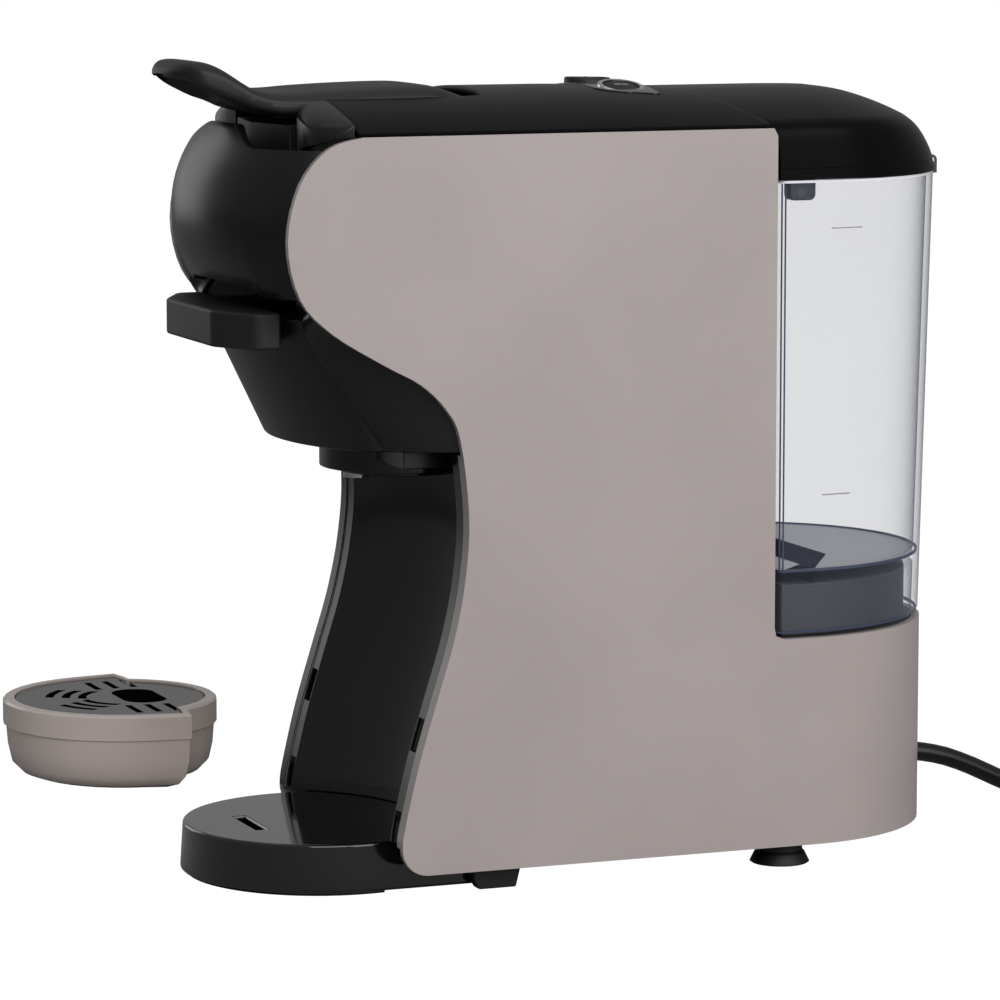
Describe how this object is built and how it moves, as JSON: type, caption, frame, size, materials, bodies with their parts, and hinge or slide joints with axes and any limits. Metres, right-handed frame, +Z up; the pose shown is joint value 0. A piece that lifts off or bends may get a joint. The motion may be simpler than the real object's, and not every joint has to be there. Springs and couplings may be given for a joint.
{
  "type": "pod coffee machine",
  "caption": "Pod coffee machine with a closing lever, pull-out pod holder, lift-out water tank and a separate drip tray.",
  "frame": {"origin": "on the table, at the centre of the round front of the base, under the spout", "axes": "+X to the right of a user who faces the front, -Y towards that user, +Z up"},
  "size_m": [0.3281, 0.3992, 0.2689],
  "materials": {
    "grey_shell": "fine satin, warm grey moulded plastic",
    "black_gloss": "polished piano-black plastic",
    "black_satin": "satin black plastic",
    "charcoal": "fine-grained charcoal plastic",
    "plinth": "dark grey plastic",
    "clear_tank": "clear, faintly blue-grey",
    "rubber": "matte black rubber",
    "cord_jacket": "satin black cord jacket",
    "steel": "plain machined steel",
    "bright_ring": "polished ring",
    "pin_metal": "nickel-plated",
    "tray_taupe": "warm grey moulded plastic, paler below the rim",
    "boiler_metal": "cast, plain",
    "works_plastic": "moulded, plain",
    "circuit": "lacquered board"
  },
  "bodies": {
    "housing": {"side_panel_right": "grey_shell", "side_panel_left": "grey_shell", "base": "black_gloss", "base_pad": "rubber", "column": "black_gloss", "rail_right": "black_satin", "rail_left": "black_satin", "frame": "works_plastic", "shelf": "works_plastic", "pedestal": "plinth", "bottom_plate": "black_satin", "front_foot_right": "black_satin", "front_foot_left": "black_satin", "suction_foot_right": "rubber", "suction_foot_left": "rubber", "dome": "black_satin", "dome_roof": "black_satin", "cheek_right": "black_satin", "cheek_left": "black_satin", "shoulder_right": "black_satin", "shoulder_left": "black_satin", "press_guide": "works_plastic", "lever_pin": "steel", "lever_bed": "works_plastic", "deck": "black_gloss", "control_pod": "charcoal", "button_ring_right": "bright_ring", "button_ring_left": "bright_ring", "control_board": "circuit", "board_posts": "works_plastic", "tank_seal": "rubber", "pump": "works_plastic", "pump_cradle": "works_plastic", "boiler": "boiler_metal", "feed_tube": "works_plastic", "cord_gland": "cord_jacket", "cord_tube": "cord_jacket", "cord_coil": "cord_jacket", "cord_tie": "cord_jacket", "plug": "cord_jacket", "plug_pins": "pin_metal"},
    "lever": {"lever": "charcoal"},
    "press": {"press": "steel"},
    "pod_holder": {"holder_cone": "black_satin", "pod_cup": "works_plastic", "grip": "charcoal", "collar": "black_gloss", "spout": "steel"},
    "power_button": {"button_left": "charcoal"},
    "start_button": {"button_right": "charcoal"},
    "tank": {"tank": "clear_tank", "tank_valve": "plinth", "hinge_tab": "clear_tank", "lid_pin": "steel"},
    "lid": {"tank_lid": "black_gloss", "lid_lug_right": "black_satin", "lid_lug_left": "black_satin", "lid_knuckle": "black_satin"},
    "drip_tray": {"drip_tray": "tray_taupe"},
    "drip_grid": {"drip_grid": "black_satin"}
  },
  "joints": [
    {"name": "lever_hinge", "type": "hinge", "parent": "housing", "child": "lever", "pos_m": [0, 0.0412, 0.2506], "axis": [-1, 0, 0], "range_deg": [0, 75]},
    {"name": "press_slide", "type": "slide", "parent": "housing", "child": "press", "axis": [0, 0, 1], "range_m": [0, 0.008]},
    {"name": "pod_holder_slide", "type": "slide", "parent": "housing", "child": "pod_holder", "axis": [0, -1, 0], "range_m": [0, 0.07]},
    {"name": "power_button_press", "type": "slide", "parent": "housing", "child": "power_button", "axis": [0, 0, -1], "range_m": [0, 0.0012], "stiffness_N_per_m": 400, "springref_m": -0.001},
    {"name": "start_button_press", "type": "slide", "parent": "housing", "child": "start_button", "axis": [0, 0, -1], "range_m": [0, 0.0012], "stiffness_N_per_m": 400, "springref_m": -0.001},
    {"name": "tank_lift", "type": "slide", "parent": "housing", "child": "tank", "axis": [0, 0, 1], "range_m": [0, 0.17]},
    {"name": "lid_hinge", "type": "hinge", "parent": "tank", "child": "lid", "pos_m": [0, 0.2186, 0.2308], "axis": [-1, 0, 0], "range_deg": [0, 80]},
    {"name": "tray_lift", "type": "slide", "parent": "housing", "child": "drip_tray", "axis": [0, 0, 1], "range_m": [0, 0.12]},
    {"name": "grid_lift", "type": "slide", "parent": "drip_tray", "child": "drip_grid", "axis": [0, 0, 1], "range_m": [0, 0.08]}
  ],
  "couplings": [
    {"joint": "press_slide", "follows": "lever_hinge", "m_per_rad": 0.006}
  ]
}
